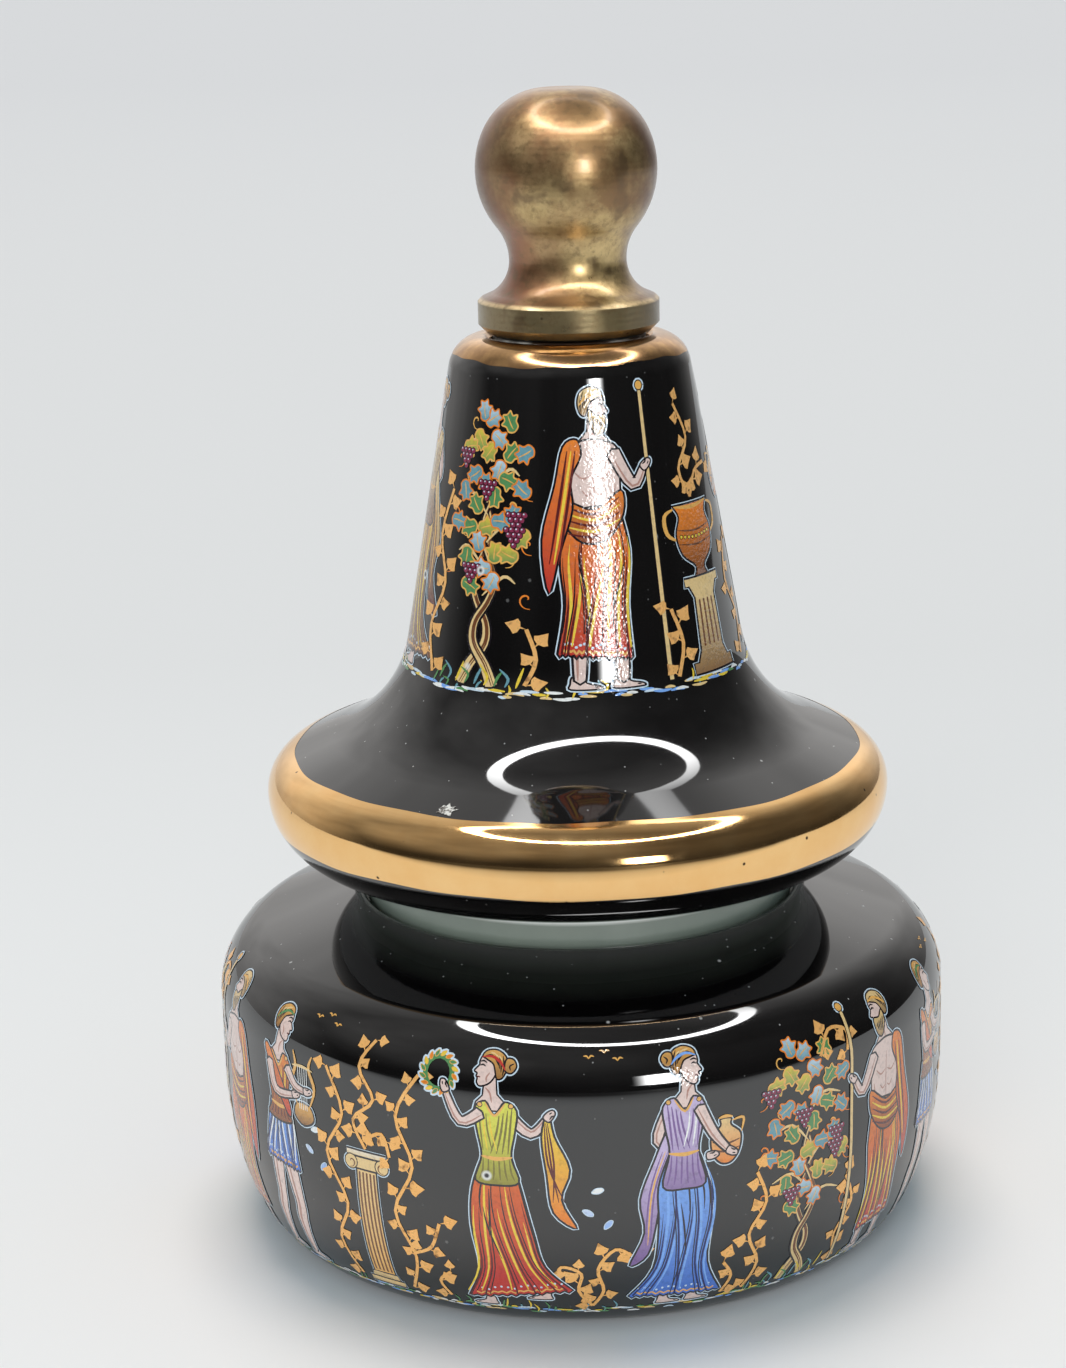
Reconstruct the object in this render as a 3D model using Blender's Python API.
"""Porcelain perfume bottle: a squat bowl, a bell-shaped flask that stands in its mouth, and a brass stopper.

Lengths are in metres, +Z is up, and the origin is the centre of the bowl's foot. Every piece is turned about
the Z axis from an outline of (radius, height) points, which runs up the inside and down the outside.
"""

import math

import bpy

# Fits, and how finely round shapes are divided
FIT_GAP = 0.0003
MERGE_DISTANCE = 0.00001
TURN_STEPS = 40
ROD_TURN_STEPS = 16
ARC_STEP = math.radians(15)
HIDDEN_ARC_STEP = math.radians(24)

# Bowl: a curved side on a foot ring, an upright band, and a rounded shoulder that rises to the mouth
BOWL_RADIUS = 0.0325
BOWL_SIDE_RISE = 0.0150
BOWL_BAND_RISE = 0.0063
BOWL_SHOULDER_RISE = 0.0090
BOWL_SHOULDER_ROUND = 0.0065
BOWL_WALL = 0.0028
BOWL_FOOT_RADIUS = 0.0266
BOWL_FOOT_WIDTH = 0.0030
BOWL_FOOT_RECESS = 0.0012
BOWL_RIM_WIDTH = 0.0005
FOOT_DRAFT = 0.0004

# Gallery: the step inside the bowl's mouth that the flask's foot stands in
GALLERY_DEPTH = 0.0014
GALLERY_LEDGE = 0.0028

# Flask: a foot ring, a wide round-edged flange, a cone, and a neck with a rounded lip
FLASK_HEIGHT = 0.0500
FLASK_WALL = 0.0026
FLASK_FOOT_RADIUS = 0.0190
FLASK_FOOT_WIDTH = 0.0025
FLASK_FOOT_HEIGHT = 0.0031
FLASK_FOOT_RECESS = 0.0019
FLANGE_RADIUS = 0.02755
FLANGE_TOP_ROUND = 0.0035
FLANGE_UNDER_ROUND = 0.0058
FLANGE_TOP_SLOPE = math.radians(23)
FLANGE_UNDER_SLOPE = math.radians(19)
CONE_FILLET = 0.0120
CONE_SLOPE = math.radians(10)
NECK_BORE_RADIUS = 0.0060
NECK_BORE_LENGTH = 0.0113
NECK_WALL = 0.0045
LIP_ROUND = 0.0030
LIP_EDGE = 0.0004
CHAMBER_SHOULDER = 0.0035
LEAST_ROUND = 0.0002

# Stopper knob: a ball with a flattened top, a waist that flares to a collar, and a hollow spigot below
BALL_RADIUS = 0.00775
BALL_TOP_CUT = 0.0010
BALL_TOP_ROUND = 0.0060
WAIST_RADIUS = 0.00503
WAIST_COVE = 0.0044
FLARE_COVE = 0.0032
COLLAR_OVERHANG = 0.00277
COLLAR_HEIGHT = 0.0029
COLLAR_LEDGE = 0.0012
COLLAR_LEDGE_RISE = 0.0004
COLLAR_EDGE = 0.0003
COLLAR_CHAMFER = 0.0007
SPIGOT_WALL = 0.0011
SPIGOT_LENGTH = 0.0090
SOCKET_DEPTH = 0.0060

# Stopper sleeve: a flange that seals on the lip, and a ribbed plug in the neck
SLEEVE_FLANGE_LAP = 0.0006
SLEEVE_FLANGE_HEIGHT = 0.0005
SLEEVE_PLUG_LENGTH = 0.0096
SLEEVE_RIB_COUNT = 3
SLEEVE_RIB_HEIGHT = 0.0004
SLEEVE_RIB_WIDTH = 0.0010

# Dabber rod: a thin rod that hangs into the flask and ends in a round bulb
ROD_RADIUS = 0.0012
ROD_EDGE = 0.0002
DABBER_SWELL = 0.0006
DABBER_CLEARANCE = 0.0055

# Sizes that follow from those above
BOWL_HEIGHT = BOWL_SIDE_RISE + BOWL_BAND_RISE + BOWL_SHOULDER_RISE
GALLERY_RADIUS = FLASK_FOOT_RADIUS + FIT_GAP
GALLERY_FLOOR = BOWL_HEIGHT - GALLERY_DEPTH
MOUTH_RADIUS = GALLERY_RADIUS - GALLERY_LEDGE
FLASK_REST = GALLERY_FLOOR + FIT_GAP
FLASK_FLOOR = FLASK_FOOT_RECESS + FLASK_WALL
NECK_RADIUS = NECK_BORE_RADIUS + NECK_WALL
SLEEVE_FLANGE_RADIUS = NECK_BORE_RADIUS + SLEEVE_FLANGE_LAP
LIP_SEAT_RADIUS = SLEEVE_FLANGE_RADIUS + FIT_GAP
LIP_SEAT_FLOOR = FLASK_HEIGHT - SLEEVE_FLANGE_HEIGHT - FIT_GAP
LIP_RADIUS = min(LIP_ROUND, NECK_RADIUS - LIP_SEAT_RADIUS - LIP_EDGE - LEAST_ROUND)
LIP_CENTRE = (NECK_RADIUS - LIP_RADIUS, FLASK_HEIGHT - LIP_RADIUS)
SLEEVE_REST = FLASK_REST + LIP_SEAT_FLOOR + FIT_GAP
COLLAR_REST = SLEEVE_REST + SLEEVE_FLANGE_HEIGHT + FIT_GAP
BALL_TOP_RISE = BALL_RADIUS - BALL_TOP_CUT
COLLAR_RADIUS = WAIST_RADIUS + COLLAR_OVERHANG
SOCKET_RADIUS = ROD_RADIUS + FIT_GAP
SPIGOT_RADIUS = SOCKET_RADIUS + SPIGOT_WALL
DABBER_RADIUS = ROD_RADIUS + DABBER_SWELL
ROD_TOP = COLLAR_REST - SPIGOT_LENGTH + SOCKET_DEPTH - FIT_GAP
ROD_BOTTOM = FLASK_REST + FLASK_FLOOR + DABBER_CLEARANCE


def arc(centre, radii, start, end, step=ARC_STEP):
    """Points along a circle or an ellipse with upright axes, from one angle to another."""
    count = max(2, math.ceil(abs(end - start) / step))
    angles = [start + (end - start) * i / count for i in range(count + 1)]
    return [(centre[0] + radii[0] * math.cos(a), centre[1] + radii[1] * math.sin(a)) for a in angles]


def round_arc(centre, radius, start, end, step=ARC_STEP):
    """Points along a circle, from one angle to another."""
    return arc(centre, (radius, radius), start, end, step)


def tangent_angle(point, centre, radius):
    """Angle on a circle where a line from a point that lies inward of it touches its upper side."""
    across = point[0] - centre[0]
    up = point[1] - centre[1]
    return math.atan2(up, across) - math.acos(radius / math.hypot(across, up))


def crossing(point_a, angle_a, point_b, angle_b):
    """Where two straight lines cross, each given by a point and a direction."""
    turn = math.sin(angle_b - angle_a)
    across = point_b[0] - point_a[0]
    up = point_b[1] - point_a[1]
    reach = (across * math.sin(angle_b) - up * math.cos(angle_b)) / turn
    return (point_a[0] + reach * math.cos(angle_a), point_a[1] + reach * math.sin(angle_a))


def material(name, colour, roughness, metallic=0.0):
    """A plain surface with one colour."""
    made = bpy.data.materials.new(name)
    made.use_nodes = True
    shader = made.node_tree.nodes["Principled BSDF"]
    shader.inputs["Base Color"].default_value = (*colour, 1.0)
    shader.inputs["Roughness"].default_value = roughness
    shader.inputs["Metallic"].default_value = metallic
    return made


def turned(name, outline, finish, closed=False, steps=TURN_STEPS):
    """A solid of revolution about Z. A closed outline makes a ring, and an open one starts and ends on the axis."""
    mesh = bpy.data.meshes.new(name)
    edges = [(i, i + 1) for i in range(len(outline) - 1)]
    if closed:
        edges.append((len(outline) - 1, 0))
    mesh.from_pydata([(radius, 0.0, height) for radius, height in outline], edges, [])
    mesh.materials.append(finish)
    piece = bpy.data.objects.new(name, mesh)
    bpy.context.scene.collection.objects.link(piece)
    turn = piece.modifiers.new("turn", "SCREW")
    turn.axis = "Z"
    turn.steps = steps
    turn.render_steps = steps
    turn.use_merge_vertices = True
    turn.merge_threshold = MERGE_DISTANCE
    turn.use_smooth_shade = True
    return piece


def bowl_side(inset, foot, step):
    """The bowl's side and shoulder from the foot's edge upward, moved inward by the inset."""
    side_centre = (BOWL_FOOT_RADIUS - inset, BOWL_SIDE_RISE)
    side_reach = (BOWL_RADIUS - BOWL_FOOT_RADIUS, BOWL_SIDE_RISE - foot)
    side = arc(side_centre, side_reach, -math.pi / 2, 0, step)
    shoulder_centre = (BOWL_RADIUS - BOWL_SHOULDER_ROUND, BOWL_SIDE_RISE + BOWL_BAND_RISE)
    shoulder_round = max(BOWL_SHOULDER_ROUND - inset, LEAST_ROUND)
    if inset:
        rim = (MOUTH_RADIUS, GALLERY_FLOOR - BOWL_WALL)
    else:
        rim = (GALLERY_RADIUS + BOWL_RIM_WIDTH, BOWL_HEIGHT)
    touch = tangent_angle(rim, shoulder_centre, shoulder_round)
    shoulder = round_arc(shoulder_centre, shoulder_round, 0, touch, step)
    return side + shoulder + [rim]


def make_bowl(finish):
    """Lower bowl, hollow, with a gallery in its mouth and a recess under its foot."""
    floor = BOWL_FOOT_RECESS + BOWL_WALL
    inside = [(0.0, floor)] + bowl_side(BOWL_WALL, floor, HIDDEN_ARC_STEP)
    mouth = [(MOUTH_RADIUS, GALLERY_FLOOR), (GALLERY_RADIUS, GALLERY_FLOOR), (GALLERY_RADIUS, BOWL_HEIGHT)]
    outside = bowl_side(0.0, 0.0, ARC_STEP)[::-1]
    foot_inner = BOWL_FOOT_RADIUS - BOWL_FOOT_WIDTH
    foot = [(foot_inner, 0.0), (foot_inner - FOOT_DRAFT, BOWL_FOOT_RECESS), (0.0, BOWL_FOOT_RECESS)]
    return turned("base_bowl", inside + mouth + outside + foot, finish)


def cone_line():
    """A point on the flask's cone just under the lip, and the downward direction of the cone."""
    start = (
        LIP_CENTRE[0] + LIP_RADIUS * math.cos(CONE_SLOPE),
        LIP_CENTRE[1] + LIP_RADIUS * math.sin(CONE_SLOPE),
    )
    return start, CONE_SLOPE - math.pi / 2


def flange_centres():
    """Centres of the flange edge's upper and lower rounding, which share the height of the widest line."""
    under_across = FLANGE_RADIUS - FLANGE_UNDER_ROUND
    slope_rise = (under_across - FLASK_FOOT_RADIUS) * math.tan(FLANGE_UNDER_SLOPE)
    height = FLASK_FOOT_HEIGHT + slope_rise + FLANGE_UNDER_ROUND / math.cos(FLANGE_UNDER_SLOPE)
    return (FLANGE_RADIUS - FLANGE_TOP_ROUND, height), (under_across, height)


def flask_skin(inset, step):
    """The flask's side from the foot of the cone down to the flange's underside, moved inward by the inset."""
    top_centre, under_centre = flange_centres()
    top_end = math.pi / 2 - FLANGE_TOP_SLOPE
    top_point = round_arc(top_centre, FLANGE_TOP_ROUND, top_end, 0.0)[0]
    cone_point, cone_angle = cone_line()
    corner = crossing(cone_point, cone_angle, top_point, -FLANGE_TOP_SLOPE)
    half_turn = (math.pi / 2 - CONE_SLOPE - FLANGE_TOP_SLOPE) / 2
    bisector = (CONE_SLOPE + top_end) / 2
    reach = CONE_FILLET / math.cos(half_turn)
    fillet_centre = (corner[0] + reach * math.cos(bisector), corner[1] + reach * math.sin(bisector))
    fillet = round_arc(fillet_centre, CONE_FILLET + inset, math.pi + CONE_SLOPE, math.pi + top_end, step)
    over = round_arc(top_centre, max(FLANGE_TOP_ROUND - inset, LEAST_ROUND), top_end, 0.0, step)
    under_end = FLANGE_UNDER_SLOPE - math.pi / 2
    under = round_arc(under_centre, max(FLANGE_UNDER_ROUND - inset, LEAST_ROUND), 0.0, under_end, step)
    return fillet + over + under


def cone_inner_radius(height):
    """Radius of the chamber's cone wall at a height above the flask's foot."""
    start = cone_line()[0]
    outer = start[0] + (start[1] - height) * math.tan(CONE_SLOPE)
    return outer - FLASK_WALL / math.cos(CONE_SLOPE)


def make_flask(finish):
    """Bell-shaped flask with a closed floor, a neck with a seat in its lip, and a foot ring for the gallery."""
    chamber_edge = FLASK_FOOT_RADIUS - FLASK_FOOT_WIDTH / 2
    floor = [(0.0, FLASK_FLOOR), (chamber_edge, FLASK_FLOOR)]
    inside = flask_skin(FLASK_WALL, HIDDEN_ARC_STEP)[::-1]
    bore_bottom = FLASK_HEIGHT - NECK_BORE_LENGTH
    shoulder = max(bore_bottom - CHAMBER_SHOULDER, inside[-1][1])
    neck = [
        (cone_inner_radius(shoulder), shoulder),
        (NECK_BORE_RADIUS, bore_bottom),
        (NECK_BORE_RADIUS, LIP_SEAT_FLOOR),
        (LIP_SEAT_RADIUS, LIP_SEAT_FLOOR),
        (LIP_SEAT_RADIUS, FLASK_HEIGHT - LIP_EDGE),
        (LIP_SEAT_RADIUS + LIP_EDGE, FLASK_HEIGHT),
    ]
    lip = round_arc(LIP_CENTRE, LIP_RADIUS, math.pi / 2, CONE_SLOPE)
    foot_inner = FLASK_FOOT_RADIUS - FLASK_FOOT_WIDTH
    foot = [
        (FLASK_FOOT_RADIUS, FLASK_FOOT_HEIGHT),
        (FLASK_FOOT_RADIUS, 0.0),
        (foot_inner, 0.0),
        (foot_inner - FOOT_DRAFT, FLASK_FOOT_RECESS),
        (0.0, FLASK_FOOT_RECESS),
    ]
    outline = floor + inside + neck + lip + flask_skin(0.0, ARC_STEP) + foot
    flask = turned("flask_body", outline, finish)
    flask.location.z = FLASK_REST
    return flask


def knob_ball():
    """Outline of the ball and the waist, from the flattened top down to the collar's ledge."""
    flare_end = min(COLLAR_RADIUS - COLLAR_LEDGE, WAIST_RADIUS + FLARE_COVE)
    flare_angle = math.acos((WAIST_RADIUS + FLARE_COVE - flare_end) / FLARE_COVE)
    waist = COLLAR_HEIGHT + COLLAR_LEDGE_RISE + FLARE_COVE * math.sin(flare_angle)
    centres_apart = BALL_RADIUS + WAIST_COVE
    lean = math.acos((WAIST_RADIUS + WAIST_COVE) / centres_apart)
    ball_height = waist + centres_apart * math.sin(lean)
    flat = BALL_TOP_RISE - BALL_TOP_ROUND
    round_across = math.sqrt((BALL_RADIUS - BALL_TOP_ROUND) ** 2 - flat ** 2)
    round_centre = (round_across, ball_height + flat)
    ball_start = math.atan2(flat, round_across)
    crown = round_arc(round_centre, BALL_TOP_ROUND, math.pi / 2, ball_start)[:-1]
    ball = round_arc((0.0, ball_height), BALL_RADIUS, ball_start, -lean)
    cove = round_arc((WAIST_RADIUS + WAIST_COVE, waist), WAIST_COVE, math.pi - lean, math.pi)[1:]
    flare = round_arc((WAIST_RADIUS + FLARE_COVE, waist), FLARE_COVE, math.pi, math.pi + flare_angle)[1:]
    return [(0.0, ball_height + BALL_TOP_RISE)] + crown + ball + cove + flare


def make_knob(finish, seat):
    """Turned brass knob with its collar, and a spigot that holds the sleeve outside and the rod inside."""
    collar = [
        (COLLAR_RADIUS - COLLAR_EDGE, COLLAR_HEIGHT),
        (COLLAR_RADIUS, COLLAR_HEIGHT - COLLAR_EDGE),
        (COLLAR_RADIUS, COLLAR_CHAMFER),
        (COLLAR_RADIUS - COLLAR_CHAMFER, 0.0),
    ]
    spigot = [
        (SPIGOT_RADIUS, 0.0),
        (SPIGOT_RADIUS, -SPIGOT_LENGTH),
        (SOCKET_RADIUS, -SPIGOT_LENGTH),
        (SOCKET_RADIUS, SOCKET_DEPTH - SPIGOT_LENGTH),
        (0.0, SOCKET_DEPTH - SPIGOT_LENGTH),
    ]
    knob = turned("stopper_knob", knob_ball() + collar + spigot, finish)
    knob.parent = seat
    return knob


def make_sleeve(finish, seat):
    """Moulded sleeve: its flange lies in the lip's seat under the collar, and its ribs seal in the neck."""
    top = SLEEVE_REST + SLEEVE_FLANGE_HEIGHT - COLLAR_REST
    bottom = top - SLEEVE_FLANGE_HEIGHT - SLEEVE_PLUG_LENGTH
    flange = top - SLEEVE_FLANGE_HEIGHT
    inner = SPIGOT_RADIUS + FIT_GAP
    rib = NECK_BORE_RADIUS - FIT_GAP
    plug = rib - SLEEVE_RIB_HEIGHT
    outer = SLEEVE_FLANGE_RADIUS
    outline = [(inner, top), (outer, top), (outer, flange), (plug, flange)]
    for i in range(SLEEVE_RIB_COUNT):
        middle = flange - SLEEVE_PLUG_LENGTH * (i + 1) / (SLEEVE_RIB_COUNT + 1)
        outline.append((plug, middle + SLEEVE_RIB_WIDTH / 2))
        outline.append((rib, middle))
        outline.append((plug, middle - SLEEVE_RIB_WIDTH / 2))
    outline.append((plug, bottom))
    outline.append((inner, bottom))
    sleeve = turned("stopper_sleeve", outline, finish, closed=True)
    sleeve.parent = seat
    return sleeve


def make_rod(finish, seat):
    """Dabber rod, from its end in the spigot's socket to the bulb above the flask's floor."""
    top = ROD_TOP - COLLAR_REST
    bulb = ROD_BOTTOM + DABBER_RADIUS - COLLAR_REST
    neck_angle = math.acos(ROD_RADIUS / DABBER_RADIUS)
    shaft = [(0.0, top), (ROD_RADIUS - ROD_EDGE, top), (ROD_RADIUS, top - ROD_EDGE)]
    end = round_arc((0.0, bulb), DABBER_RADIUS, neck_angle, -math.pi / 2)[:-1]
    outline = shaft + end + [(0.0, bulb - DABBER_RADIUS)]
    rod = turned("dabber_rod", outline, finish, steps=ROD_TURN_STEPS)
    rod.parent = seat
    return rod


def make_stopper(brass, polythene, glass):
    """The stopper's three pieces, carried by an empty on the axis at the underside of the collar."""
    seat = bpy.data.objects.new("stopper_seat", None)
    bpy.context.scene.collection.objects.link(seat)
    seat.location.z = COLLAR_REST
    make_knob(brass, seat)
    make_sleeve(polythene, seat)
    make_rod(glass, seat)


def main():
    for old in list(bpy.data.objects):
        bpy.data.objects.remove(old)
    bowl_glaze = material("bowl_glaze", (0.012, 0.012, 0.014), 0.06)
    flask_glaze = material("flask_glaze", (0.012, 0.012, 0.014), 0.06)
    brass = material("aged_brass", (0.42, 0.30, 0.14), 0.38, 1.0)
    polythene = material("polythene", (0.78, 0.77, 0.72), 0.45)
    glass = material("rod_glass", (0.86, 0.90, 0.88), 0.05)
    make_bowl(bowl_glaze)
    make_flask(flask_glaze)
    make_stopper(brass, polythene, glass)


main()
